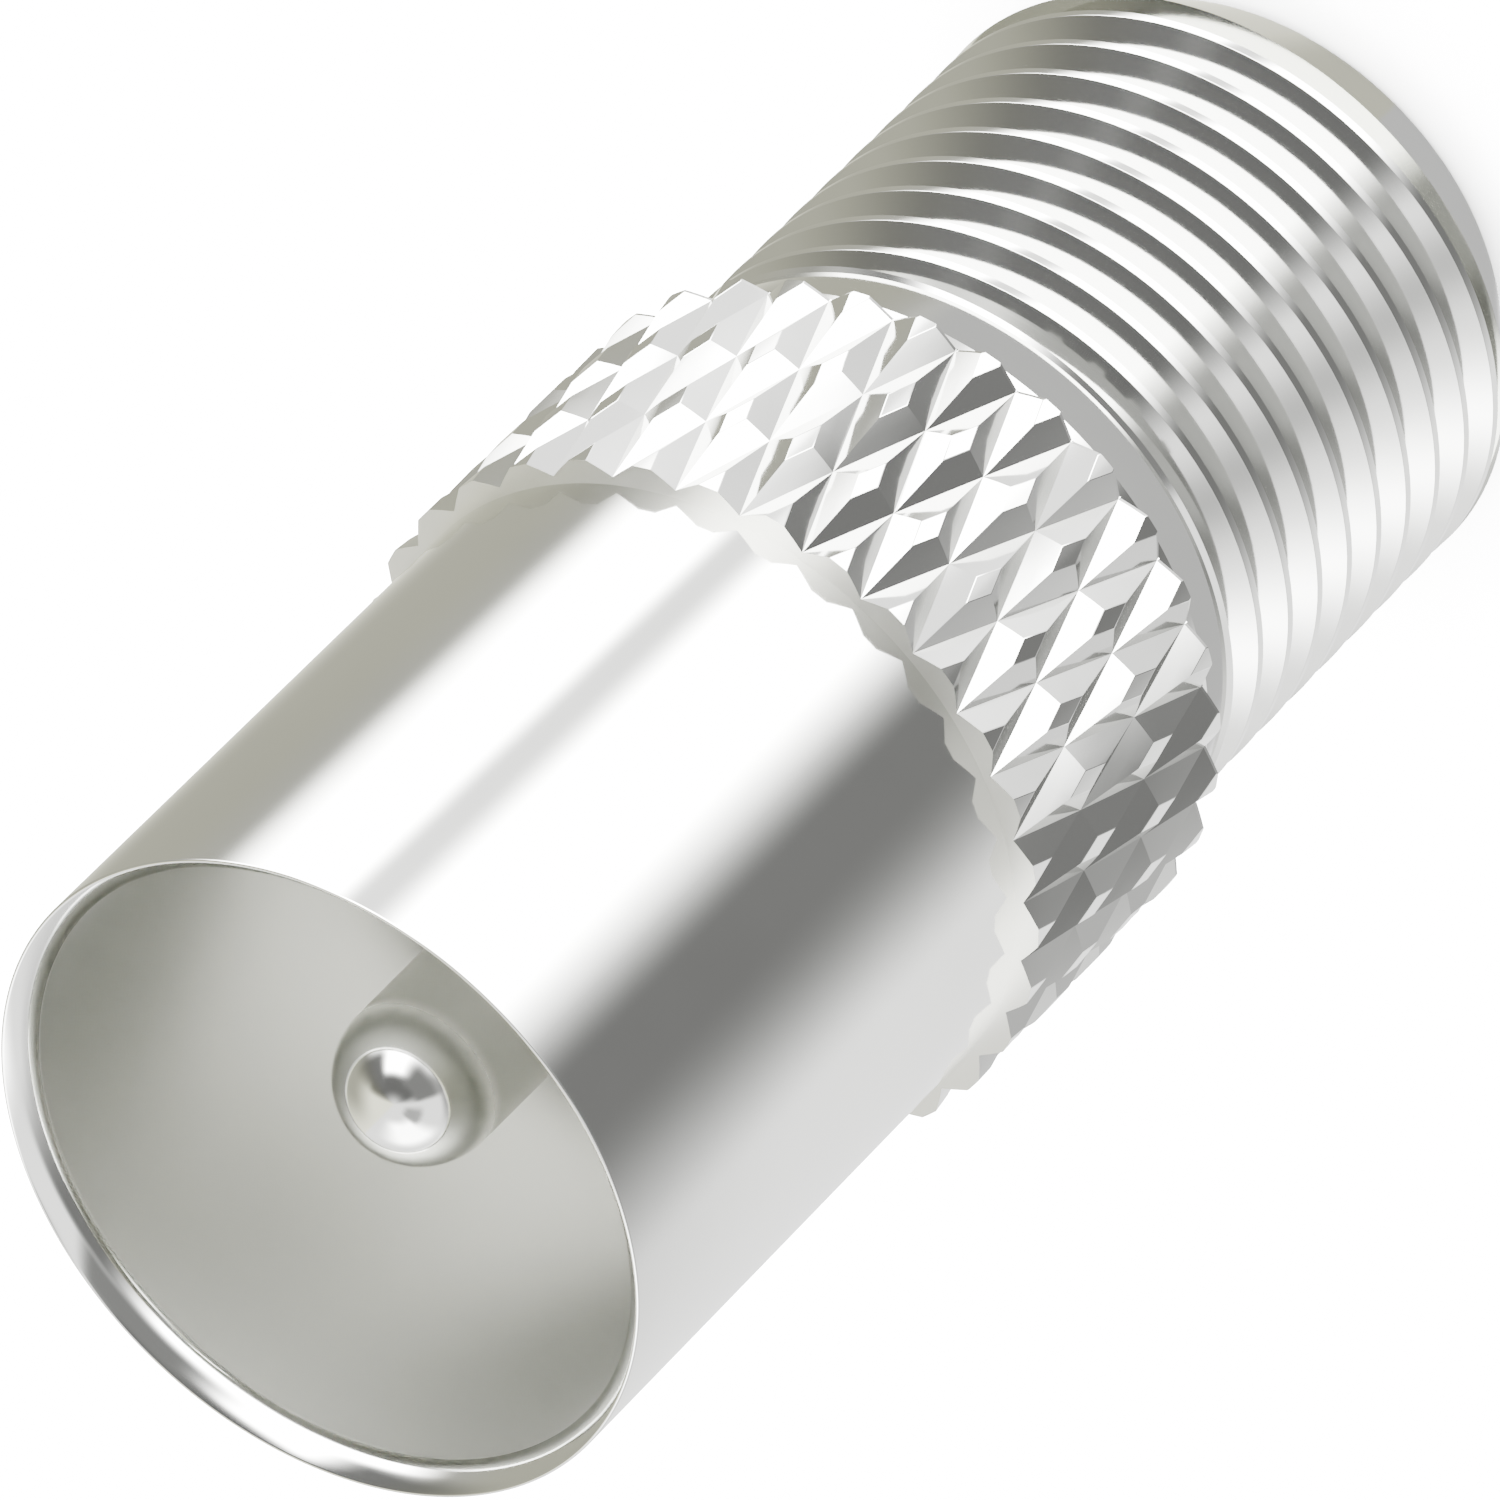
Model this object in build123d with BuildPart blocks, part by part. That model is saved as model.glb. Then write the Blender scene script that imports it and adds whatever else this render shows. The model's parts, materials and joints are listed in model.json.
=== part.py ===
from build123d import *
import math
import os

os.makedirs("parts", exist_ok=True)

# Stations along the axis, from the socket's end face at z = 0 up to the plug's mouth, with the neck that
# widens from the thread to a short shoulder under the collar
thread_top = 8.60
neck_length = 1.25
neck_r = 4.76
shoulder_r = 4.95
shoulder_length = 0.28
collar_width = 4.76
barrel_length = 9.50
collar_rear = thread_top + neck_length
collar_front = collar_rear + collar_width
mouth = collar_front + barrel_length

# External thread, 3/8-32, right hand, and the cone at its free end
thread_major_r = 4.75
thread_pitch = 0.79375
thread_depth = 0.40
crest_width = 0.25
flank_angle = 30
crest_height_on_x = 0.1637
steps_per_turn = 48
cone_length = 1.23
end_face_r = 3.98

# Diamond knurl on the collar, one row of pits lies in the collar's front face
knurl_count = 32
collar_od = 10.62
knurl_depth = 0.23
land_share = 0.286
diamond_length = 3.1356

# Plug barrel and its mouth
barrel_r = 4.95
barrel_wall = 0.27
mouth_round = 0.10
lead_in_width = 0.13
lead_in_depth = 0.48
lead_in_bulge = 0.035
floor_thickness = 0.80
spigot_length = 2.40
spigot_r = 4.30

# Centre pin
pin_r = 1.175
pin_below_mouth = 1.355
shank_r = 0.90
tail_r = 0.45
tail_length = 2.20

# Insulators and the web between them
bead_r = 3.50
web_bottom = 8.20
web_top = 9.40
web_bore_r = 2.20
socket_bead_r = 3.00
socket_recess = 0.50
guide_r = 0.75
guide_length = 1.00
guide_mouth_r = 1.20
guide_cone = 0.40

# Spring contact behind the guide hole
contact_r = 0.85
contact_bottom = 2.00
contact_top = 8.80
slot_width = 0.25
slot_length = 4.20
finger_gap = 0.20
contact_seat = 1.80
edge_break = 0.12

barrel_bore_r = barrel_r - barrel_wall
floor_top = collar_front + floor_thickness
spigot_bottom = collar_front - spigot_length
pin_tip = mouth - pin_below_mouth


def knurl_point(step, row, radius):
    """A point on the knurl, counted in half pitches round it and half diamonds down from the front face."""
    turn = math.radians(step * 180 / knurl_count)
    height = collar_front - row * diamond_length / 2
    return Vector(radius * math.cos(turn), radius * math.sin(turn), height)


def diamond(step, row):
    """The two land facets and the eight slope facets of one diamond."""
    land_r = collar_od / 2
    pit_r = land_r - knurl_depth
    ways = [(-1, 0), (0, 1), (1, 0), (0, -1)]
    pits = [knurl_point(step + a, row + b, pit_r) for a, b in ways]
    land = [knurl_point(step + a * land_share, row + b * land_share, land_r) for a, b in ways]
    facets = [(land[0], land[1], land[3]), (land[1], land[2], land[3])]
    for near in range(4):
        far = (near + 1) % 4
        facets.append((pits[near], pits[far], land[far]))
        facets.append((pits[near], land[far], land[near]))
    return facets


def knurl_faces():
    """Facets of the whole knurl, overlong at both ends and closed there onto the axis."""
    last_row = math.ceil(2 * collar_width / diamond_length) + 1
    pit_r = collar_od / 2 - knurl_depth
    corners = []
    for row in range(-1, last_row + 1):
        for step in range(2 * knurl_count):
            if (step + row) % 2:
                corners.extend(diamond(step, row))
    for row, hub_row in ((-1, -3), (last_row, last_row + 2)):
        outward = -1 if row < 0 else 1
        hub = knurl_point(0, hub_row, 0)
        for step in range(2 * knurl_count):
            first = row + outward * ((step + row) % 2)
            second = row + outward * ((step + 1 + row) % 2)
            corners.append((hub, knurl_point(step, first, pit_r), knurl_point(step + 1, second, pit_r)))
    return [Face(Wire.make_polygon(points, close=True)) for points in corners]


def thread_point(step, corner):
    """A corner of the thread's section, counted in steps along the helix: crest, crest, root, root."""
    flank = thread_depth * math.tan(math.radians(flank_angle))
    rises = (0, crest_width, crest_width + flank, thread_pitch - flank)
    radius = thread_major_r if corner < 2 else thread_major_r - thread_depth
    turn = math.radians(360 * step / steps_per_turn)
    height = crest_height_on_x + step * thread_pitch / steps_per_turn + rises[corner]
    return Vector(radius * math.cos(turn), radius * math.sin(turn), height)


def thread_faces():
    """Facets of a helical thread that runs past both of its ends and is closed there onto the axis."""
    low_turn = math.floor((cone_length - crest_height_on_x) / thread_pitch) - 2
    high_turn = math.ceil((thread_top - crest_height_on_x) / thread_pitch) + 2
    first = low_turn * steps_per_turn
    last = high_turn * steps_per_turn
    corners = []
    for step in range(first, last):
        strips = [(thread_point(step, c), thread_point(step + 1, c)) for c in range(4)]
        if step + steps_per_turn < last:
            above = step + steps_per_turn
            strips.append((thread_point(above, 0), thread_point(above + 1, 0)))
        for (a, b), (c, d) in zip(strips, strips[1:]):
            corners.append((a, b, d))
            corners.append((a, d, c))
    below_top = last - steps_per_turn
    rim = [thread_point(step, 0) for step in range(first + steps_per_turn, first - 1, -1)]
    rim += [thread_point(first, c) for c in range(1, 4)]
    hub = Vector(0, 0, thread_point(first, 0).Z - thread_pitch / 2)
    corners += [(hub, rim[k - 1], rim[k]) for k in range(len(rim))]
    rim = [thread_point(step, 3) for step in range(below_top, last + 1)]
    rim += [thread_point(last, c) for c in (2, 1, 0)]
    hub = Vector(0, 0, thread_point(last, 3).Z + thread_pitch / 2)
    corners += [(hub, rim[k - 1], rim[k]) for k in range(len(rim))]
    return [Face(Wire.make_polygon(points, close=True)) for points in corners]


with BuildPart() as knurled_collar:
    add(Solid(Shell(knurl_faces())))
    with BuildSketch(Plane.XY.offset(collar_rear)):
        Circle(collar_od)
    extrude(amount=collar_width, mode=Mode.INTERSECT)

with BuildPart() as threaded_band:
    add(Solid(Shell(thread_faces())))
    with BuildSketch(Plane.XY.offset(cone_length)):
        Circle(2 * thread_major_r)
    extrude(amount=thread_top - cone_length, mode=Mode.INTERSECT)

with BuildPart() as adapter_body:
    with BuildSketch(Plane.XZ):
        with BuildLine():
            Polyline(
                (0, 0),
                (end_face_r, 0),
                (neck_r, cone_length),
                (0, cone_length),
                close=True,
            )
        make_face()
    revolve(axis=Axis.Z)
    add(threaded_band.part)
    with BuildSketch(Plane.XZ):
        with BuildLine():
            Polyline(
                (0, thread_top),
                (neck_r, thread_top),
                (shoulder_r, collar_rear - shoulder_length),
                (shoulder_r, collar_rear),
                (0, collar_rear),
                close=True,
            )
        make_face()
    revolve(axis=Axis.Z)
    add(knurled_collar.part)
    with BuildSketch(Plane.XZ):
        with BuildLine():
            Polyline(
                (0, 0),
                (socket_bead_r + edge_break, 0),
                (socket_bead_r, edge_break),
                (socket_bead_r, web_bottom),
                (web_bore_r, web_bottom),
                (web_bore_r, web_top),
                (bead_r, web_top),
                (bead_r, spigot_bottom),
                (spigot_r, spigot_bottom),
                (spigot_r, collar_front),
                (0, collar_front),
                close=True,
            )
        make_face()
    revolve(axis=Axis.Z, mode=Mode.SUBTRACT)

with BuildPart() as plug_sleeve:
    with BuildSketch(Plane.XZ):
        with BuildLine():
            Polyline(
                (barrel_bore_r, mouth - lead_in_depth),
                (barrel_bore_r, floor_top),
                (bead_r, floor_top),
                (bead_r, spigot_bottom),
                (spigot_r, spigot_bottom),
                (spigot_r, collar_front),
                (barrel_r, collar_front),
                (barrel_r, mouth - mouth_round),
            )
            RadiusArc((barrel_r, mouth - mouth_round), (barrel_r - mouth_round, mouth), -mouth_round)
            Line((barrel_r - mouth_round, mouth), (barrel_bore_r + lead_in_width, mouth))
            SagittaArc(
                (barrel_bore_r + lead_in_width, mouth),
                (barrel_bore_r, mouth - lead_in_depth),
                -lead_in_bulge,
            )
        make_face()
    revolve(axis=Axis.Z)

with BuildPart() as plug_insulator:
    with BuildSketch(Plane.XZ):
        with BuildLine():
            Polyline(
                (shank_r, web_top),
                (bead_r, web_top),
                (bead_r, floor_top),
                (shank_r, floor_top),
                close=True,
            )
        make_face()
    revolve(axis=Axis.Z)

with BuildPart() as centre_pin:
    with BuildSketch(Plane.XZ):
        with BuildLine():
            Polyline(
                (0, pin_tip),
                (0, contact_top - tail_length),
                (tail_r - edge_break, contact_top - tail_length),
                (tail_r, contact_top - tail_length + edge_break),
                (tail_r, contact_top),
                (shank_r, contact_top),
                (shank_r, floor_top),
                (pin_r, floor_top),
                (pin_r, pin_tip - pin_r),
            )
            CenterArc((0, pin_tip - pin_r), pin_r, 0, 90)
        make_face()
    revolve(axis=Axis.Z)

with BuildPart() as socket_insulator:
    guide_end = socket_recess + guide_cone + guide_length
    seat_bottom = web_bottom - contact_seat
    with BuildSketch(Plane.XZ):
        with BuildLine():
            Polyline(
                (guide_mouth_r, socket_recess),
                (socket_bead_r, socket_recess),
                (socket_bead_r, web_bottom),
                (contact_r, web_bottom),
                (contact_r, seat_bottom),
                (contact_r + finger_gap, seat_bottom),
                (contact_r + finger_gap, guide_end),
                (guide_r, guide_end),
                (guide_r, socket_recess + guide_cone),
                close=True,
            )
        make_face()
    revolve(axis=Axis.Z)

with BuildPart() as socket_contact:
    with BuildSketch(Plane.XZ):
        with BuildLine():
            Polyline(
                (tail_r + edge_break, contact_bottom),
                (contact_r - edge_break, contact_bottom),
                (contact_r, contact_bottom + edge_break),
                (contact_r, contact_top),
                (tail_r, contact_top),
                (tail_r, contact_bottom + edge_break),
                close=True,
            )
        make_face()
    revolve(axis=Axis.Z)
    with BuildSketch(Plane.XY.offset(contact_bottom)):
        Rectangle(4 * contact_r, slot_width)
        Rectangle(slot_width, 4 * contact_r)
    extrude(amount=slot_length, mode=Mode.SUBTRACT)

adapter_body.part.label = "adapter_body"
plug_sleeve.part.label = "plug_sleeve"
centre_pin.part.label = "centre_pin"
plug_insulator.part.label = "plug_insulator"
socket_insulator.part.label = "socket_insulator"
socket_contact.part.label = "socket_contact"
export_step(adapter_body.part, "parts/adapter_body.step")
export_step(plug_sleeve.part, "parts/plug_sleeve.step")
export_step(centre_pin.part, "parts/centre_pin.step")
export_step(plug_insulator.part, "parts/plug_insulator.step")
export_step(socket_insulator.part, "parts/socket_insulator.step")
export_step(socket_contact.part, "parts/socket_contact.step")
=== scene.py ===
import json
import math

import bmesh
import bpy
from mathutils import Matrix, Vector

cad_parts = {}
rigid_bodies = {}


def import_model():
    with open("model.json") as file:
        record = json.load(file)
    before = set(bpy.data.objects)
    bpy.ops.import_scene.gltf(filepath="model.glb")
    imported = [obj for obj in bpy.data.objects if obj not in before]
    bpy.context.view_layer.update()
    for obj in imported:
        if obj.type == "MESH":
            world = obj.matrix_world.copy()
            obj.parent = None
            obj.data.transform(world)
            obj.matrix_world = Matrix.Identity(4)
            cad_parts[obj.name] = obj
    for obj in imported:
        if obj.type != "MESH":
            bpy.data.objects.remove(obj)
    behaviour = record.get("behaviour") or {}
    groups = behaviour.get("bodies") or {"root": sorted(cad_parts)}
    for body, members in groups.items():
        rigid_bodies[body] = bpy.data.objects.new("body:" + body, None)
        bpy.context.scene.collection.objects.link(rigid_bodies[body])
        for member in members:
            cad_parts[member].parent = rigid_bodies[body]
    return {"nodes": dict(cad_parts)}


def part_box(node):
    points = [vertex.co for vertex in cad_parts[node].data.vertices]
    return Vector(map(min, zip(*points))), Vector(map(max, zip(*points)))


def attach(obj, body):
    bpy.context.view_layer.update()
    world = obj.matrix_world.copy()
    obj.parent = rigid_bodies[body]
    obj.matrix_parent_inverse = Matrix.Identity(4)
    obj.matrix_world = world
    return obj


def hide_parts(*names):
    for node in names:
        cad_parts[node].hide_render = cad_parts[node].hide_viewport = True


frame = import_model()

bl_info = {
    "name": "Coaxial adapter",
    "version": (1, 0, 0),
    "blender": (4, 5, 0),
    "location": "View3D > Sidebar > Adapter",
    "description": "Dresses a push-on plug to threaded socket adapter and sets its studio",
    "category": "Object",
}

MM = 0.001

# In metres: points nearer than WELD become one, points nearer than TOUCH are the same point, and a rim's points
# lie within LEVEL of the height where it was cut.
WELD = 2e-7
TOUCH = 1e-8
LEVEL = 1e-6

# Sizes inside the body, in millimetres: radii, heights above the socket's end, and the width of a broken edge.
SOCKET_BORE = 3.0
WEB_BORE = 2.2
WEB_BOTTOM = 8.2
WEB_TOP = 9.4
BEAD = 3.5
SPIGOT = 4.3
SPIGOT_BOTTOM = 12.21
EDGE_BREAK = 0.12

# The pin's hidden length, in millimetres: a thin tail in the contact, then a shank through the bead.
TAIL = 0.45
TAIL_BOTTOM = 6.6
CONTACT_TOP = 8.8
SHANK = 0.9

# The plug's floor in millimetres, and its mouth's curved lead-in: how far along, and degrees from upright.
FLOOR_THICKNESS = 0.8
LEAD_IN = ((0.0, 52), (0.22, 42), (0.46, 21), (0.6, 0))

# Half the angle between the thread's flanks, in degrees, and the small rim and slope that close its ends.
FLANK_ANGLE = 30
THREAD_RIM = 0.01
THREAD_SLOPE = 0.06

# Where the plate is rougher and its colour darker: its radii and its heights in metres, each as start, full,
# full until and end, then its colour and its roughness. The darker colour is painted shade, where the plate sits
# in a recess or a corner.
# Painted shade inside the plug's bore and on its floor.
BORE = ((-1.0, 0.0, 0.00465, 0.00466), (0.0, 0.001, 0.02362, 0.02374), (0.35, 0.355, 0.325), 0.47)
# Painted shade on the collar's front face, in the corner round the barrel's foot.
FACE = ((0.00489, 0.0049, 0.0056, 0.0057), (0.014605, 0.014609, 0.015, 0.016), (0.50, 0.50, 0.46), 0.35)
# Painted shade on the pin's shaft, down in the bore; the round tip stays bright.
PIN = ((-1.0, 0.0, 0.0012, 0.0013), (0.0, 0.001, 0.0214, 0.0218), (0.43, 0.435, 0.405), 0.45)

# The studio as the polished metal sees it: walls, a gap and panels, each laid over those before it. A row is the
# strength, then where it starts, is full, is full until and ends, in bearing from the camera and in elevation.
SURROUNDINGS = (
    (0.78, (-182, -181, -76, -56), (-91, -90, -53, -44)),
    (1.6, (-182, -181, -84, -60), (-39, -33, 4, 20)),
    (0.66, (88, 102, 140, 184), (-91, -90, 30, 64)),
    (0.25, (-98, -46, -30, -11), (-91, -90, 20, 34)),
    (0.9, (-66, -46, -26, -12), (-19, -14, -4, 4)),
    (4.5, (-4, 26, 44, 80), (-76, -58, -50, -42)),
    (26.0, (-18, 1, 80, 100), (-56, -42, 46, 56)),
    (2.8, (34, 46, 50, 58), (-60, -46, -22, -12)),
    (0.21, (-46, -12, 96, 130), (50, 60, 70, 92)),
    (0.24, (62, 80, 96, 126), (16, 34, 62, 74)),
    (0.32, (-44, -32, 8, 38), (14, 40, 56, 68)),
    (14.0, (-176, -140, -112, -84), (22, 38, 58, 72)),
    (0.75, (-108, -92, -74, -46), (50, 60, 70, 80)),
    (0.80, (-182, -181, 181, 182), (-92, -91, -67, -61)),
)

# The bearings between which the light turns from white to warm.
WARM_FROM = 80.0
WARM_TO = 120.0
WHITE_LIGHT = (1.0, 1.0, 1.0, 1.0)
WARM_LIGHT = (1.0, 0.995, 0.80, 1.0)

# The floor and the lamp over it, in metres. The floor lies a hair under the object's end face.
FLOOR_REACH = 2.0
FLOOR_DROP = 0.0001
FLOOR_LIGHT = (0.91, 0.91, 0.91, 1.0)
FLOOR_DARK = (0.88, 0.88, 0.88, 1.0)
LAMP_SIZE = 2.0
LAMP_HEIGHT = 1.2


class Value:
    """A socket that takes part in arithmetic, which adds the Math nodes."""

    def __init__(self, graph, socket):
        self.graph = graph
        self.socket = socket

    def __add__(self, other):
        return self.graph.math("ADD", self, other)

    __radd__ = __add__

    def __sub__(self, other):
        return self.graph.math("SUBTRACT", self, other)

    def __rsub__(self, other):
        return self.graph.math("SUBTRACT", other, self)

    def __mul__(self, other):
        return self.graph.math("MULTIPLY", self, other)

    __rmul__ = __mul__

    def __truediv__(self, other):
        return self.graph.math("DIVIDE", self, other)

    def __rtruediv__(self, other):
        return self.graph.math("DIVIDE", other, self)

    def __pow__(self, other):
        return self.graph.math("POWER", self, other)

    def __rpow__(self, other):
        return self.graph.math("POWER", other, self)


class Graph:
    """A node tree and the one way to add a node to it."""

    def __init__(self, tree):
        self.tree = tree

    def put(self, socket, value):
        """Links a value to a socket, or sets it there as a constant."""
        if isinstance(value, Value):
            value = value.socket
        if isinstance(value, bpy.types.NodeSocket):
            self.tree.links.new(value, socket)
        else:
            socket.default_value = value

    def node(self, kind, settings=None, sockets=None):
        """Adds a node: its settings first, then its sockets, by name or by number."""
        made = self.tree.nodes.new(kind)
        for key, value in (settings or {}).items():
            setattr(made, key, value)
        for key, value in (sockets or {}).items():
            self.put(made.inputs[key], value)
        return made

    def out(self, node, socket=0):
        """One output of a node as a Value."""
        return Value(self, node.outputs[socket])

    def math(self, operation, *values):
        """One Math node on values or constants."""
        return self.out(self.node("ShaderNodeMath", {"operation": operation}, dict(enumerate(values))))

    def xyz(self, x=0.0, y=0.0, z=0.0):
        """A vector from three values."""
        return self.out(self.node("ShaderNodeCombineXYZ", None, {0: x, 1: y, 2: z}))

    def split(self, vector):
        """The three components of a vector."""
        made = self.node("ShaderNodeSeparateXYZ", None, {0: vector})
        return [self.out(made, k) for k in range(3)]

    def smooth(self, value, low, high, to_low=0.0, to_high=1.0):
        """A smooth ramp from to_low at low to to_high at high."""
        made = self.node(
            "ShaderNodeMapRange",
            {"interpolation_type": "SMOOTHSTEP"},
            {"Value": value, "From Min": low, "From Max": high, "To Min": to_low, "To Max": to_high},
        )
        return self.out(made)

    def window(self, value, start, full, until, end):
        """One between full and until, and none before start and after end, with smooth slopes."""
        return self.smooth(value, start, full) * self.smooth(value, until, end, 1.0, 0.0)

    def mix(self, factor, first, second):
        """A blend of two colours."""
        made = self.node("ShaderNodeMix", {"data_type": "RGBA"}, {0: factor, 6: first, 7: second})
        return self.out(made, 2)


def new_material(name):
    """A material with an empty tree, its graph and its shader node."""
    material = bpy.data.materials.new(name)
    material.use_nodes = True
    material.node_tree.nodes.clear()
    graph = Graph(material.node_tree)
    shader = graph.node("ShaderNodeBsdfPrincipled")
    graph.node("ShaderNodeOutputMaterial", None, {"Surface": shader.outputs[0]})
    return material, graph, shader


def paint(obj, material):
    """Gives an object one material on all its faces."""
    obj.data.materials.clear()
    obj.data.materials.append(material)


class Shape(Graph):
    """A geometry node tree with named inputs for its sizes."""

    def __init__(self, name, sizes):
        super().__init__(bpy.data.node_groups.new(name, "GeometryNodeTree"))
        self.sizes = sizes
        self.ids = {}
        for label, value in sizes.items():
            kind = "NodeSocketInt" if isinstance(value, int) else "NodeSocketFloat"
            made = self.tree.interface.new_socket(label, in_out="INPUT", socket_type=kind)
            self.ids[label] = made.identifier
        self.tree.interface.new_socket("Geometry", in_out="OUTPUT", socket_type="NodeSocketGeometry")
        self.entry = self.node("NodeGroupInput")

    def size(self, label):
        """A named input as a Value."""
        return Value(self, self.entry.outputs[label])

    def position(self):
        """The place of each point as a field."""
        return self.out(self.node("GeometryNodeInputPosition"))

    def around(self, reach, angle, height):
        """A place at a reach from the axis, an angle about it and a height."""
        return self.xyz(reach * self.math("COSINE", angle), reach * self.math("SINE", angle), height)

    def choose(self, index, values, kind="FLOAT"):
        """The value whose place in the list is index."""
        made = self.node("GeometryNodeIndexSwitch", {"data_type": kind})
        while len(made.index_switch_items) < len(values):
            made.index_switch_items.new()
        self.put(made.inputs["Index"], index)
        for k, value in enumerate(values):
            self.put(made.inputs[1 + k], value)
        return self.out(made)

    def grid(self, across, along):
        """A grid of across by along points, with the two counts of each point as fields."""
        sizes = {"Size X": 1.0, "Size Y": 1.0, "Vertices X": across, "Vertices Y": along}
        made = self.node("GeometryNodeMeshGrid", None, sizes)
        x, y, _ = self.split(self.position())
        first = self.math("ROUND", (x + 0.5) * (across - 1))
        second = self.math("ROUND", (y + 0.5) * (along - 1))
        return self.out(made), first, second

    def change(self, kind, **sockets):
        """The geometry that one node makes of its inputs, whose names have no spaces."""
        return self.out(self.node(kind, None, sockets))

    def place(self, geometry, position):
        """Moves every point to the position that the field gives."""
        return self.change("GeometryNodeSetPosition", Geometry=geometry, Position=position)

    def weld(self, geometry, distance=WELD):
        """Joins points that lie on each other."""
        return self.change("GeometryNodeMergeByDistance", Geometry=geometry, Distance=distance)

    def build(self, name, geometry, material):
        """Ends the tree, runs it on an empty mesh with its own sizes and returns the result as a plain mesh."""
        real = self.change("GeometryNodeRealizeInstances", Geometry=geometry)
        dressed = self.change("GeometryNodeSetMaterial", Geometry=real, Material=material)
        self.node("NodeGroupOutput", None, {"Geometry": dressed})
        holder = bpy.data.objects.new(name, bpy.data.meshes.new(name))
        bpy.context.scene.collection.objects.link(holder)
        modifier = holder.modifiers.new(name, "NODES")
        modifier.node_group = self.tree
        for label, value in self.sizes.items():
            modifier[self.ids[label]] = value
        view = bpy.context.evaluated_depsgraph_get()
        mesh = bpy.data.meshes.new_from_object(holder.evaluated_get(view))
        bpy.data.objects.remove(holder)
        return mesh


def thread_skin(sizes, material):
    """One start of the external thread as an open tube, past both ends of the threaded length."""
    tree = Shape("thread_skin", sizes)
    pitch, radius, depth = tree.size("Pitch"), tree.size("Crest radius"), tree.size("Depth")
    crest, flank, steps = tree.size("Crest width"), tree.size("Flank width"), tree.size("Steps per turn")
    soft, fine = tree.size("Crest round"), tree.size("Root round")
    root = radius - depth
    corners = [
        tree.xyz(0.0, radius),
        tree.xyz(crest, radius),
        tree.xyz(crest + flank, root),
        tree.xyz(pitch - flank, root),
        tree.xyz(pitch, radius),
    ]
    rounds = [0.0, soft, fine, fine, 0.0]
    index = tree.out(tree.node("GeometryNodeInputIndex"))
    counting = {"mode": "OFFSET", "count_mode": "TOTAL"}
    line = tree.out(tree.node("GeometryNodeMeshLine", counting, {"Count": len(corners)}))
    section = tree.place(line, tree.choose(index, corners, "VECTOR"))
    curve = tree.change("GeometryNodeMeshToCurve", Mesh=section)
    bend = {"Curve": curve, "Radius": tree.choose(index, rounds), "Count": 4, "Limit Radius": True}
    rounded = tree.out(tree.node("GeometryNodeFilletCurve", {"mode": "POLY"}, bend))
    outline = tree.change("GeometryNodeCurveToMesh", Curve=rounded)
    count = tree.out(tree.node("GeometryNodeAttributeDomainSize", {"component": "MESH"}, {"Geometry": outline}))
    flat, turn, corner = tree.grid(steps * tree.size("Turns") + 1.0, count)
    sample = tree.node(
        "GeometryNodeSampleIndex",
        {"data_type": "FLOAT_VECTOR", "domain": "POINT"},
        {"Geometry": outline, "Value": tree.position(), "Index": corner},
    )
    along, reach, _ = tree.split(tree.out(sample))
    angle = turn * 2.0 * math.pi / steps
    height = tree.size("Start height") + turn * pitch / steps + along
    return tree.build("thread", tree.weld(tree.place(flat, tree.around(reach, angle, height))), material)


def knurl_skin(sizes, material):
    """Diamonds on a slanted lattice, wrapped round the collar as an open tube that runs past both faces."""
    tree = Shape("knurl_skin", sizes)
    count, length = tree.size("Count"), tree.size("Diamond length")
    top, depth = tree.size("Land radius"), tree.size("Depth")
    share, soft = tree.size("Land share"), tree.size("Edge softness")
    rings = [0.0, share - soft, share + soft, 1.0]
    lift = [1.0, 1.0, 1.0 - soft / (1.0 - share), 0.0]
    corners = 4
    flat, quarter, ring = tree.grid(corners + 1, len(rings))
    diamond = tree.around(tree.choose(ring, rings), quarter * math.pi / 2, tree.choose(ring, lift))
    cell = tree.weld(tree.place(flat, diamond), distance=1e-4)
    cell = tree.change("GeometryNodeSubdivideMesh", Mesh=cell, Level=1)
    lattice, column, row = tree.grid(count, tree.size("Rows"))
    shift = tree.math("FLOORED_MODULO", row, 2.0)
    spots = tree.place(lattice, tree.xyz(column * 2.0 + shift, row))
    many = tree.change("GeometryNodeInstanceOnPoints", Points=spots, Instance=cell)
    real = tree.change("GeometryNodeRealizeInstances", Geometry=many)
    x, y, z = tree.split(tree.position())
    angle = x * math.pi / count
    reach = top - depth + depth * z
    height = tree.size("First row height") - y * length / 2.0
    return tree.build("knurl", tree.weld(tree.place(real, tree.around(reach, angle, height))), material)


def trim(mesh, low, high):
    """Cuts an open tube square at two heights. Returns it with its lower and upper rim."""
    skin = bmesh.new()
    skin.from_mesh(mesh)
    bmesh.ops.remove_doubles(skin, verts=skin.verts, dist=WELD)
    for height, way in ((low, -1), (high, 1)):
        everything = skin.verts[:] + skin.edges[:] + skin.faces[:]
        bmesh.ops.bisect_plane(
            skin,
            geom=everything,
            dist=TOUCH,
            plane_co=(0, 0, height),
            plane_no=(0, 0, way),
            clear_outer=True,
        )
    bmesh.ops.remove_doubles(skin, verts=skin.verts, dist=WELD)
    rims = []
    for height in (low, high):
        rim = {v for e in skin.edges if e.is_boundary for v in e.verts if abs(v.co.z - height) < LEVEL}
        rims.append(sorted(((v.co.x, v.co.y, height) for v in rim), key=lambda p: math.atan2(p[1], p[0])))
    made = bpy.data.meshes.new(mesh.name)
    skin.to_mesh(made)
    skin.free()
    return made, rims


def place_key(point):
    """A place rounded to a tenth of a micrometre, to find it again."""
    return tuple(round(c * 1e7) for c in point)


def bearing_of(vert):
    """A point's angle about the axis, from nought to a full turn."""
    return math.atan2(vert.co.y, vert.co.x) % (2 * math.pi)


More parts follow.
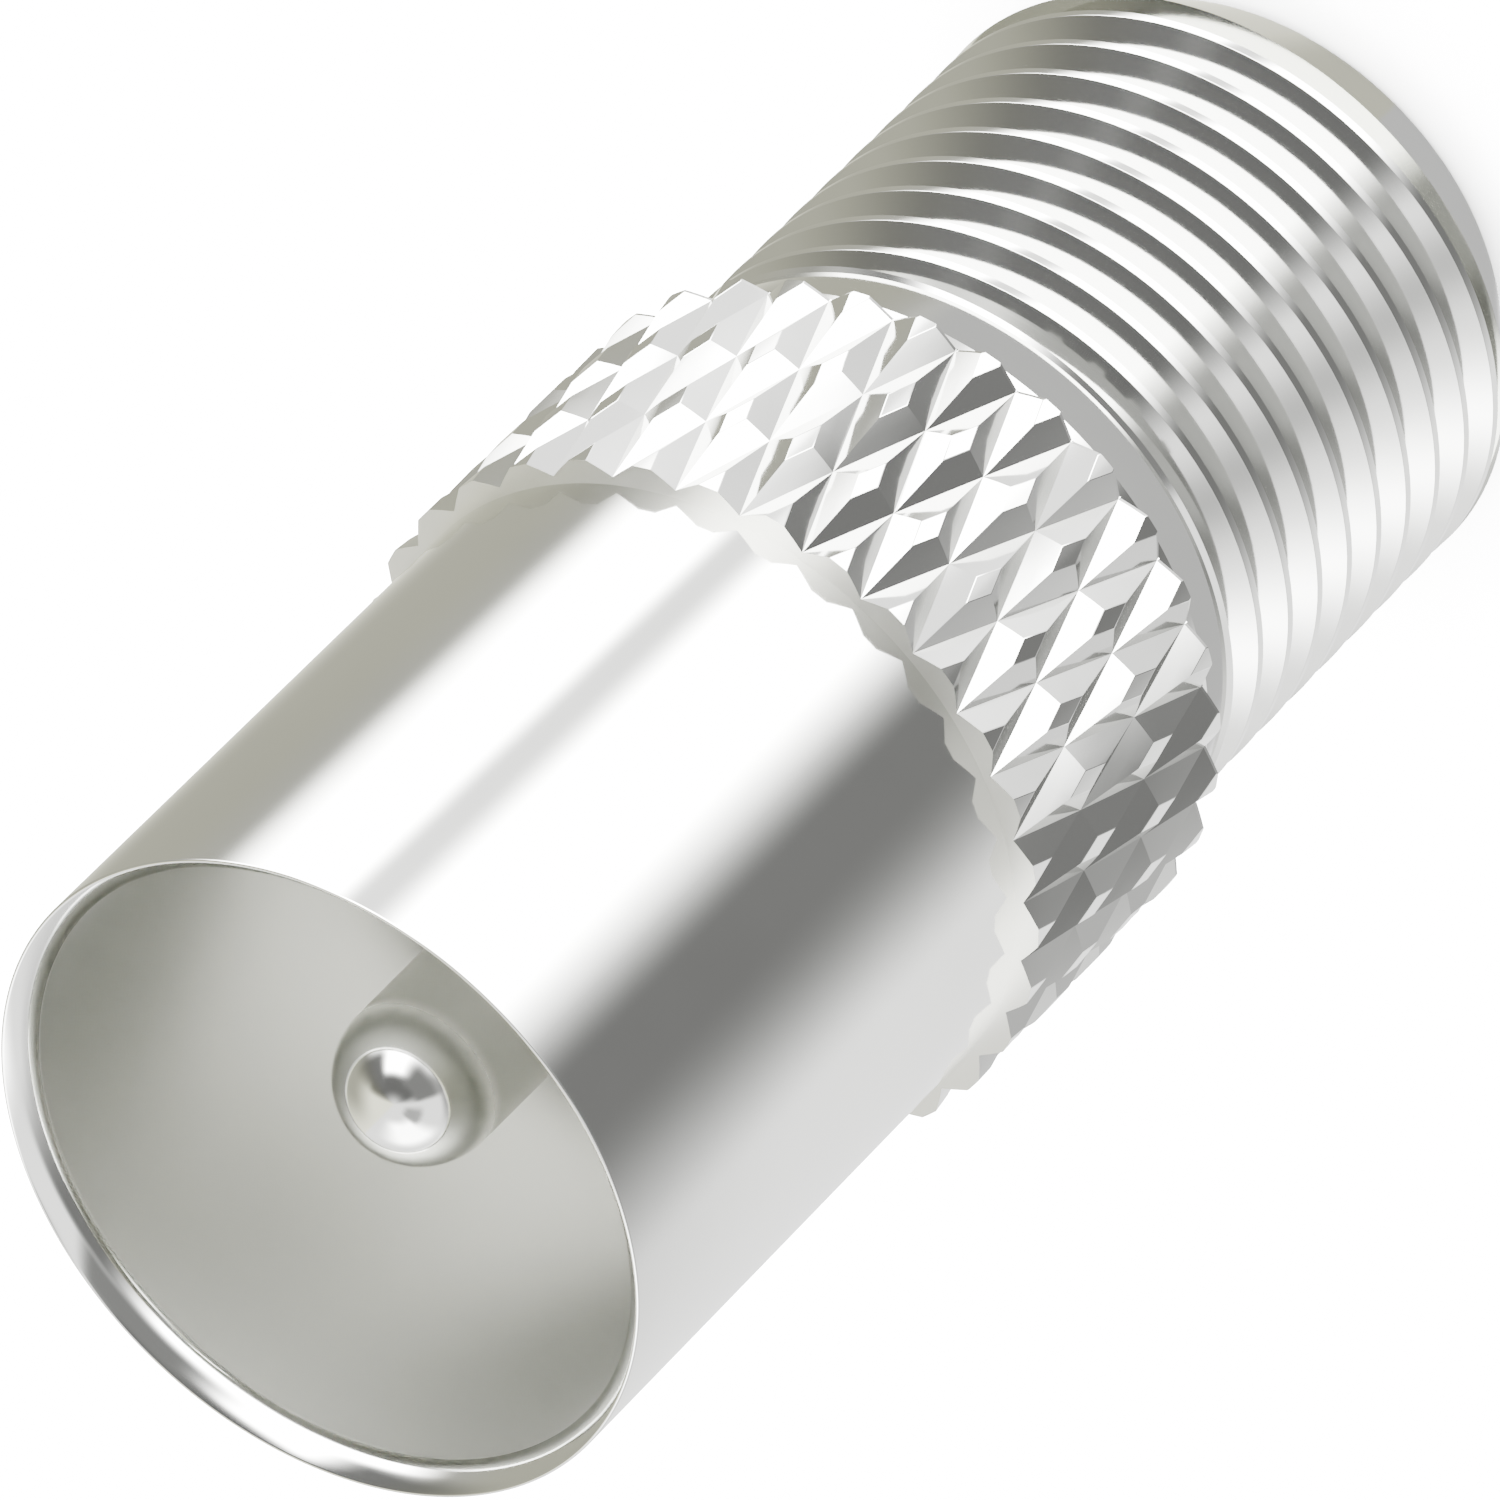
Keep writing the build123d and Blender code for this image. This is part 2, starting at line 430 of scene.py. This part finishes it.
class Skin:
    """A closed surface put together from turned bands, trimmed tubes and flat rings between them."""

    def __init__(self, columns):
        self.work = bmesh.new()
        self.columns = columns

    def ring(self, radius, height):
        """A circle of points."""
        turns = [2 * math.pi * k / self.columns for k in range(self.columns)]
        return [self.work.verts.new((radius * math.cos(a), radius * math.sin(a), height)) for a in turns]

    def band(self, outline):
        """A turned band through (radius, height) points. Returns its first and last ring."""
        rings = [self.ring(*point) for point in outline]
        for first, second in zip(rings, rings[1:]):
            for k in range(self.columns):
                n = (k + 1) % self.columns
                self.work.faces.new((first[k], first[n], second[n], second[k]))
        return rings[0], rings[-1]

    def tip(self, rim, height):
        """Closes a rim to a point on the axis."""
        point = self.work.verts.new((0, 0, height))
        for k, vert in enumerate(rim):
            self.work.faces.new((vert, rim[(k + 1) % len(rim)], point))

    def tube(self, mesh):
        """Takes in a trimmed tube."""
        self.work.from_mesh(mesh)

    def rim(self, points):
        """The verts of the trimmed tube's rim, in the order of the points."""
        near = {place_key(v.co): v for v in self.work.verts}
        return [near[place_key(Vector(point))] for point in points]

    def join(self, one, other):
        """A flat ring of triangles between two rims at one height, each single-valued round the axis."""
        one = sorted(one, key=bearing_of)
        other = sorted(other, key=bearing_of)
        full = 2 * math.pi
        i = j = 0
        while i < len(one) or j < len(other):
            next_one = bearing_of(one[i + 1]) if i + 1 < len(one) else full + bearing_of(one[0])
            next_other = bearing_of(other[j + 1]) if j + 1 < len(other) else full + bearing_of(other[0])
            a, b = one[i % len(one)], other[j % len(other)]
            if j >= len(other) or (i < len(one) and next_one <= next_other):
                self.work.faces.new((a, one[(i + 1) % len(one)], b))
                i += 1
            else:
                self.work.faces.new((a, other[(j + 1) % len(other)], b))
                j += 1

    def finish(self, name, material, sharp=30):
        """Makes the object: faces outward, smooth but for edges sharper than the angle given, in degrees."""
        bmesh.ops.remove_doubles(self.work, verts=self.work.verts, dist=TOUCH)
        bmesh.ops.recalc_face_normals(self.work, faces=self.work.faces)
        if self.work.calc_volume(signed=True) < 0:
            bmesh.ops.reverse_faces(self.work, faces=self.work.faces)
        open_edges = sum(1 for e in self.work.edges if not e.is_manifold)
        if open_edges:
            raise RuntimeError(f"{name} has {open_edges} open edges")
        mesh = bpy.data.meshes.new(name)
        self.work.to_mesh(mesh)
        self.work.free()
        for face in mesh.polygons:
            face.use_smooth = True
        mesh.set_sharp_from_angle(angle=math.radians(sharp))
        obj = bpy.data.objects.new(name, mesh)
        bpy.context.scene.collection.objects.link(obj)
        paint(obj, material)
        return obj


def arc(centre, radius, start, end, steps=8):
    """Points of a round from one angle to another, in degrees, as (radius, height)."""
    turns = [math.radians(start + (end - start) * k / steps) for k in range(steps + 1)]
    return [(centre[0] + radius * math.cos(a), centre[1] + radius * math.sin(a)) for a in turns]


def bell(start, end, tilts, steps=36):
    """Points of a curved lead-in from start down to the radius end, as (radius, height). Its tilts are pairs:
    how far along, and how many degrees its face leans from upright there."""
    turns = []
    for k in range(steps):
        t = (k + 0.5) / steps * tilts[-1][0]
        (t0, a0), (t1, a1) = next(pair for pair in zip(tilts, tilts[1:]) if t <= pair[1][0])
        turns.append(math.radians(a0 + (a1 - a0) * (t - t0) / (t1 - t0)))
    step = (start[0] - end) / sum(math.sin(a) for a in turns)
    points = []
    r, z = start
    for a in turns:
        r -= step * math.sin(a)
        z -= step * math.cos(a)
        points.append((r, z))
    return points


def scaled(points):
    """Millimetres to metres."""
    return [(r * MM, z * MM) for r, z in points]


class FinishSettings(bpy.types.PropertyGroup):
    """Colours of the finishes."""

    nickel: bpy.props.FloatVectorProperty(
        name="Nickel",
        description="Colour of the bright plate",
        subtype="COLOR",
        size=3,
        default=(0.79, 0.795, 0.765),
    )
    plastic: bpy.props.FloatVectorProperty(
        name="Plastic",
        description="Colour of the insulators",
        subtype="COLOR",
        size=3,
        default=(0.84, 0.83, 0.79),
    )
    bronze: bpy.props.FloatVectorProperty(
        name="Contact",
        description="Colour of the spring contact",
        subtype="COLOR",
        size=3,
        default=(0.80, 0.66, 0.36),
    )


class BodySettings(bpy.types.PropertyGroup):
    """Sizes of the body's turned, threaded and knurled outside, in millimetres."""

    thread_top: bpy.props.FloatProperty(
        name="Thread top", description="Height where the thread stops", default=8.60
    )
    collar_rear: bpy.props.FloatProperty(
        name="Collar rear", description="Height of the collar's lower face", default=9.85
    )
    collar_front: bpy.props.FloatProperty(
        name="Collar front", description="Height of the collar's upper face", default=14.61
    )
    neck: bpy.props.FloatProperty(
        name="Neck", description="Small radius of the tapered neck", default=4.70
    )
    step: bpy.props.FloatProperty(
        name="Step", description="Radius of the short step under the collar", default=4.95
    )
    step_length: bpy.props.FloatProperty(
        name="Step length", description="Length of that step", default=0.28
    )
    cone: bpy.props.FloatProperty(
        name="Cone", description="Length of the cone at the socket's end", default=1.23
    )
    end: bpy.props.FloatProperty(
        name="End", description="Radius of the end face", default=3.98
    )
    major: bpy.props.FloatProperty(
        name="Major", description="Radius over the thread's crests", default=4.75
    )
    pitch: bpy.props.FloatProperty(
        name="Pitch", description="Pitch of the thread", default=0.79375
    )
    depth: bpy.props.FloatProperty(
        name="Depth", description="Depth of the thread", default=0.46
    )
    crest: bpy.props.FloatProperty(
        name="Crest", description="Width of the thread's crest", default=0.13
    )
    phase: bpy.props.FloatProperty(
        name="Phase", description="Height of a crest's lower edge on +X", default=0.1637
    )
    knurls: bpy.props.IntProperty(
        name="Knurls", description="Diamonds round the collar", default=32
    )
    land: bpy.props.FloatProperty(
        name="Land", description="Radius over the knurl", default=5.31
    )
    groove: bpy.props.FloatProperty(
        name="Groove", description="Depth of the knurl", default=0.23
    )
    share: bpy.props.FloatProperty(
        name="Share", description="Flat part of a diamond", default=0.286
    )
    diamond: bpy.props.FloatProperty(
        name="Diamond", description="Length of a diamond", default=3.1356
    )


class PlugSettings(bpy.types.PropertyGroup):
    """Sizes of the plug's barrel and pin, in millimetres."""

    barrel: bpy.props.FloatProperty(
        name="Barrel", description="Outer radius of the barrel", default=4.95
    )
    wall: bpy.props.FloatProperty(
        name="Wall", description="Wall of the barrel", default=0.33
    )
    mouth: bpy.props.FloatProperty(
        name="Mouth", description="Height of the mouth", default=24.11
    )
    edge: bpy.props.FloatProperty(
        name="Edge", description="Round on the mouth's outer edge", default=0.03
    )
    pin: bpy.props.FloatProperty(
        name="Pin", description="Radius of the centre pin", default=1.175
    )
    tip: bpy.props.FloatProperty(
        name="Tip", description="Depth of the pin's tip below the mouth", default=1.355
    )


class StudioSettings(bpy.types.PropertyGroup):
    """The camera's place and the studio's light."""

    lens: bpy.props.FloatProperty(
        name="Lens", description="Focal length in millimetres", default=499.26
    )
    tilt: bpy.props.FloatProperty(
        name="Tilt",
        description="Angle from the axis to the line of sight",
        default=math.radians(47.73),
        subtype="ANGLE",
    )
    roll: bpy.props.FloatProperty(
        name="Roll",
        description="Image direction of the axis, from right towards down",
        default=math.radians(135.04),
        subtype="ANGLE",
    )
    azimuth: bpy.props.FloatProperty(
        name="Azimuth",
        description="Bearing of the camera about the axis",
        default=math.radians(-94.13),
        subtype="ANGLE",
    )
    mouth: bpy.props.FloatVectorProperty(
        name="Mouth",
        description="Mouth centre from the camera: right, down, ahead, in metres",
        size=3,
        default=(-0.005665, 0.005642, 0.27212),
    )
    sky: bpy.props.FloatProperty(
        name="Sky", description="Strength of the light tent", default=2.6
    )
    lamp: bpy.props.FloatProperty(
        name="Lamp", description="Power of the overhead lamp in watts", default=600.0
    )


def spot(graph):
    """The object's own coordinates, which are the shared frame's."""
    return graph.out(graph.node("ShaderNodeTexCoord"), "Object")


def grain(graph, where, scale, detail=2.0):
    """A noise field from nought to one."""
    sockets = {"Vector": where, "Scale": scale, "Detail": detail}
    return graph.out(graph.node("ShaderNodeTexNoise", {"noise_dimensions": "3D"}, sockets))


def relief(graph, shader, height, distance):
    """Lays a height field over the surface, distance metres deep."""
    bump = graph.node("ShaderNodeBump", None, {"Strength": 1.0, "Distance": distance, "Height": height})
    graph.put(shader.inputs["Normal"], bump.outputs[0])


def nickel(name, colour, dull_and_painted_shade=()):
    """Bright nickel plate over turned brass. Each zone given is its radii, its heights, a colour and a
    roughness: the plate is rougher there, and its darker colour is painted shade.
    """
    material, graph, shader = new_material(name)
    where = spot(graph)
    x, y, z = graph.split(where)
    radius = graph.math("SQRT", x * x + y * y)
    marks_per_metre = 30000.0
    turned = graph.xyz(radius * marks_per_metre, z * marks_per_metre)
    ripple = grain(graph, where, scale=700.0)
    marks = grain(graph, turned, scale=1.0, detail=3.0)
    cloud = grain(graph, where, scale=260.0, detail=3.0)
    shaded = tuple(0.95 * c for c in colour)
    tone = graph.mix(graph.smooth(cloud, 0.35, 0.7), (*colour, 1.0), (*shaded, 1.0))
    roughness = cloud * 0.03 + marks * 0.02 + 0.055
    # Each zone makes the plate rougher and paints shade into it with its darker colour.
    for across, upright, painted_shade_colour, zone_roughness in dull_and_painted_shade:
        mask = graph.window(radius, *across) * graph.window(z, *upright)
        tone = graph.mix(mask, tone, (*painted_shade_colour, 1.0))
        roughness = roughness + mask * (zone_roughness - roughness)
    graph.put(shader.inputs["Base Color"], tone)
    graph.put(shader.inputs["Metallic"], 1.0)
    graph.put(shader.inputs["Roughness"], roughness)
    relief(graph, shader, ripple + marks * 0.05, distance=1.5e-6)
    return material


def plastic(name, colour):
    """Natural white moulded plastic with a faint mottle."""
    material, graph, shader = new_material(name)
    mottle = grain(graph, spot(graph), scale=900.0, detail=4.0)
    shaded = tuple(0.93 * c for c in colour)
    tone = graph.mix(graph.smooth(mottle, 0.3, 0.7), (*colour, 1.0), (*shaded, 1.0))
    graph.put(shader.inputs["Base Color"], tone)
    graph.put(shader.inputs["Roughness"], mottle * 0.2 + 0.35)
    relief(graph, shader, mottle, distance=1e-5)
    return material


class ADAPTER_OT_finishes(bpy.types.Operator):
    """Gives each node its finish"""

    bl_idname = "adapter.finishes"
    bl_label = "Finishes"

    def execute(self, context):
        colours = context.scene.adapter_finish
        nodes = frame["nodes"]
        # The plate paints shade on the collar's face and the pin's shaft; the sleeve plate paints shade inside
        # the bore.
        plate = nickel("nickel_plate", colours.nickel, (FACE, PIN))
        nickel("nickel_sleeve_plate", colours.nickel, (BORE,))
        for name in ("adapter_body", "plug_sleeve", "centre_pin"):
            paint(nodes[name], plate)
        bead = plastic("insulator_plastic", colours.plastic)
        for name in ("plug_insulator", "socket_insulator"):
            paint(nodes[name], bead)
        paint(nodes["socket_contact"], nickel("contact_plate", colours.bronze))
        return {"FINISHED"}


class ADAPTER_OT_body(bpy.types.Operator):
    """Builds the threaded and knurled body"""

    bl_idname = "adapter.body"
    bl_label = "Body"

    def execute(self, context):
        s = context.scene.adapter_body
        plate = bpy.data.materials["nickel_plate"]
        # Both skins run past the length that is kept, and are then trimmed to it.
        turns_below = 2
        rows_beyond = 3
        thread = thread_skin(
            {
                "Pitch": s.pitch * MM,
                "Crest radius": s.major * MM,
                "Depth": s.depth * MM,
                "Crest width": s.crest * MM,
                "Flank width": s.depth * math.tan(math.radians(FLANK_ANGLE)) * MM,
                "Crest round": 0.012 * MM,
                "Root round": 0.04 * MM,
                "Start height": (s.phase - turns_below * s.pitch) * MM,
                "Turns": math.ceil(s.thread_top / s.pitch) + turns_below + 1,
                "Steps per turn": 128,
            },
            plate,
        )
        knurl = knurl_skin(
            {
                "Count": s.knurls,
                "Diamond length": s.diamond * MM,
                "Land radius": s.land * MM,
                "Depth": s.groove * MM,
                "Land share": s.share,
                "Edge softness": 0.012,
                "First row height": (s.collar_front + s.diamond / 2) * MM,
                "Rows": math.ceil(2 * (s.collar_front - s.collar_rear) / s.diamond) + rows_beyond,
            },
            plate,
        )
        thread, (thread_low, thread_high) = trim(thread, s.cone * MM, s.thread_top * MM)
        knurl, (knurl_low, knurl_high) = trim(knurl, s.collar_rear * MM, s.collar_front * MM)
        skin = Skin(columns=192)
        skin.tube(thread)
        skin.tube(knurl)
        neck_low, neck_high = skin.band(
            scaled([
                (s.major + THREAD_RIM, s.thread_top),
                (s.neck, s.thread_top + THREAD_SLOPE),
                (s.step, s.collar_rear - s.step_length),
                (s.step, s.collar_rear),
            ])
        )
        end_outside, front_inside = skin.band(
            scaled([
                (s.major + THREAD_RIM, s.cone),
                (s.end, 0.0),
                (SOCKET_BORE + EDGE_BREAK, 0.0),
                (SOCKET_BORE, EDGE_BREAK),
                (SOCKET_BORE, WEB_BOTTOM),
                (WEB_BORE, WEB_BOTTOM),
                (WEB_BORE, WEB_TOP),
                (BEAD, WEB_TOP),
                (BEAD, SPIGOT_BOTTOM),
                (SPIGOT, SPIGOT_BOTTOM),
                (SPIGOT, s.collar_front),
            ])
        )
        skin.join(skin.rim(thread_low), end_outside)
        skin.join(skin.rim(thread_high), neck_low)
        skin.join(skin.rim(knurl_low), neck_high)
        skin.join(skin.rim(knurl_high), front_inside)
        body = skin.finish("threaded_body", plate, sharp=12)
        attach(body, "root")
        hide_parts("adapter_body")
        return {"FINISHED"}


class ADAPTER_OT_plug(bpy.types.Operator):
    """Builds the plug's thin barrel and its round-tipped pin"""

    bl_idname = "adapter.plug"
    bl_label = "Plug"

    def execute(self, context):
        collar_front = context.scene.adapter_body.collar_front
        p = context.scene.adapter_plug
        bore = p.barrel - p.wall
        floor = collar_front + FLOOR_THICKNESS
        outline = [
            (bore, floor),
            (BEAD, floor),
            (BEAD, SPIGOT_BOTTOM),
            (SPIGOT, SPIGOT_BOTTOM),
            (SPIGOT, collar_front),
            (p.barrel, collar_front),
        ]
        # The outer edge's round turns until it leans as the lead-in's start does.
        outline += arc((p.barrel - p.edge, p.mouth - p.edge), p.edge, 0, 180 - LEAD_IN[0][1])
        outline += bell(outline[-1], bore, LEAD_IN)
        outline += [(bore, floor)]
        skin = Skin(columns=256)
        skin.band(scaled(outline))
        # The sleeve plate paints shade inside the bore.
        barrel = skin.finish("barrel", bpy.data.materials["nickel_sleeve_plate"])
        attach(barrel, "root")
        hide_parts("plug_sleeve")

        top = p.mouth - p.tip
        outline = [
            (TAIL - EDGE_BREAK, TAIL_BOTTOM),
            (TAIL, TAIL_BOTTOM + EDGE_BREAK),
            (TAIL, CONTACT_TOP),
            (SHANK, CONTACT_TOP),
            (SHANK, floor),
            (p.pin, floor),
        ]
        # The pin's round end stops just short of the axis, where a point closes it.
        outline += arc((0.0, top - p.pin), p.pin, 0, 88, steps=32)
        skin = Skin(columns=128)
        first, last = skin.band(scaled(outline))
        skin.tip(first, TAIL_BOTTOM * MM)
        skin.tip(last, top * MM)
        pin = skin.finish("pin", bpy.data.materials["nickel_plate"])
        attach(pin, "root")
        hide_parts("centre_pin")
        return {"FINISHED"}


def lay_floor(collection):
    """White paper under the object. The polished faces don't show it."""
    corners = [(x * FLOOR_REACH, y * FLOOR_REACH, -FLOOR_DROP) for x, y in ((-1, -1), (1, -1), (1, 1), (-1, 1))]
    mesh = bpy.data.meshes.new("floor")
    mesh.from_pydata(corners, [], [(0, 1, 2, 3)])
    floor = bpy.data.objects.new("floor", mesh)
    collection.objects.link(floor)
    material, graph, shader = new_material("floor_paper")
    fibre = grain(graph, spot(graph), scale=1500.0, detail=3.0)
    graph.put(shader.inputs["Base Color"], graph.mix(fibre, FLOOR_LIGHT, FLOOR_DARK))
    graph.put(shader.inputs["Roughness"], fibre * 0.1 + 0.75)
    relief(graph, shader, fibre, distance=1e-5)
    paint(floor, material)
    floor.visible_glossy = False


def hang_lamp(collection, power):
    """A square lamp over the object. The polished faces don't show it."""
    lamp = bpy.data.lights.new("overhead", "AREA")
    lamp.size = LAMP_SIZE
    lamp.energy = power
    overhead = bpy.data.objects.new("overhead", lamp)
    overhead.location = (0, 0, LAMP_HEIGHT)
    overhead.visible_glossy = False
    collection.objects.link(overhead)


def fill_world(scene, sky, azimuth):
    """The light tent with its soft panels, which blend by the power of two of their strength."""
    world = bpy.data.worlds.new("studio")
    scene.world = world
    world.use_nodes = True
    world.node_tree.nodes.clear()
    graph = Graph(world.node_tree)
    x, y, z = graph.split(graph.out(graph.node("ShaderNodeTexCoord"), "Generated"))
    bearing = graph.math("ARCTAN2", y, x) - azimuth
    bearing = graph.math("WRAP", bearing * (180 / math.pi), 180.0, -180.0)
    height = graph.math("ARCSINE", z) * (180 / math.pi)
    level = math.log2(sky)
    for strength, across, upright in SURROUNDINGS:
        share = graph.window(bearing, *across) * graph.window(height, *upright)
        level = level + share * (math.log2(strength) - level)
    tint = graph.mix(graph.smooth(bearing, WARM_FROM, WARM_TO), WHITE_LIGHT, WARM_LIGHT)
    light = graph.node("ShaderNodeBackground", None, {"Color": tint, "Strength": 2.0 ** level})
    graph.node("ShaderNodeOutputWorld", None, {"Surface": light.outputs[0]})


def aim_camera(scene, settings):
    """The camera, placed from the mouth's centre and the axis as it sees them."""
    axis = Vector((
        math.sin(settings.tilt) * math.cos(settings.roll),
        math.sin(settings.tilt) * math.sin(settings.roll),
        -math.cos(settings.tilt),
    ))
    view = Vector((0, 0, -1))
    near = (view - view.dot(axis) * axis).normalized()
    across = axis.cross(near)
    up = Vector((0, 0, 1))
    towards = Vector((math.cos(settings.azimuth), math.sin(settings.azimuth), 0))
    side = up.cross(towards)
    right, down, ahead = (up * axis[k] + towards * near[k] + side * across[k] for k in range(3))
    mouth = Vector((0, 0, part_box("plug_sleeve")[1][2]))
    place = mouth - right * settings.mouth[0] - down * settings.mouth[1] - ahead * settings.mouth[2]
    data = bpy.data.cameras.new("camera")
    data.lens = settings.lens
    data.sensor_width = 36
    data.clip_start = 0.01
    camera = bpy.data.objects.new("camera", data)
    scene.collection.objects.link(camera)
    turn = Matrix((right, -down, -ahead)).transposed()
    camera.matrix_world = Matrix.Translation(place) @ turn.to_4x4()
    scene.camera = camera


class ADAPTER_OT_studio(bpy.types.Operator):
    """Sets the floor, the light and the camera"""

    bl_idname = "adapter.studio"
    bl_label = "Studio"

    def execute(self, context):
        settings = context.scene.adapter_studio
        lay_floor(context.scene.collection)
        hang_lamp(context.scene.collection, settings.lamp)
        fill_world(context.scene, settings.sky, settings.azimuth)
        aim_camera(context.scene, settings)
        return {"FINISHED"}


class ADAPTER_PT_panel(bpy.types.Panel):
    """Lists the adapter's steps"""

    bl_label = "Adapter"
    bl_idname = "ADAPTER_PT_panel"
    bl_space_type = "VIEW_3D"
    bl_region_type = "UI"
    bl_category = "Adapter"

    def draw(self, context):
        for step in STEPS:
            self.layout.operator(step.bl_idname)


STEPS = (ADAPTER_OT_finishes, ADAPTER_OT_body, ADAPTER_OT_plug, ADAPTER_OT_studio)
CLASSES = (FinishSettings, BodySettings, PlugSettings, StudioSettings, *STEPS, ADAPTER_PT_panel)


def register():
    for item in CLASSES:
        bpy.utils.register_class(item)
    bpy.types.Scene.adapter_finish = bpy.props.PointerProperty(type=FinishSettings)
    bpy.types.Scene.adapter_body = bpy.props.PointerProperty(type=BodySettings)
    bpy.types.Scene.adapter_plug = bpy.props.PointerProperty(type=PlugSettings)
    bpy.types.Scene.adapter_studio = bpy.props.PointerProperty(type=StudioSettings)


def unregister():
    del bpy.types.Scene.adapter_studio
    del bpy.types.Scene.adapter_plug
    del bpy.types.Scene.adapter_body
    del bpy.types.Scene.adapter_finish
    for item in reversed(CLASSES):
        bpy.utils.unregister_class(item)


def main():
    register()
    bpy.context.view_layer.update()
    bpy.ops.adapter.finishes()
    bpy.ops.adapter.body()
    bpy.ops.adapter.plug()
    bpy.ops.adapter.studio()


if __name__ == "__main__":
    main()
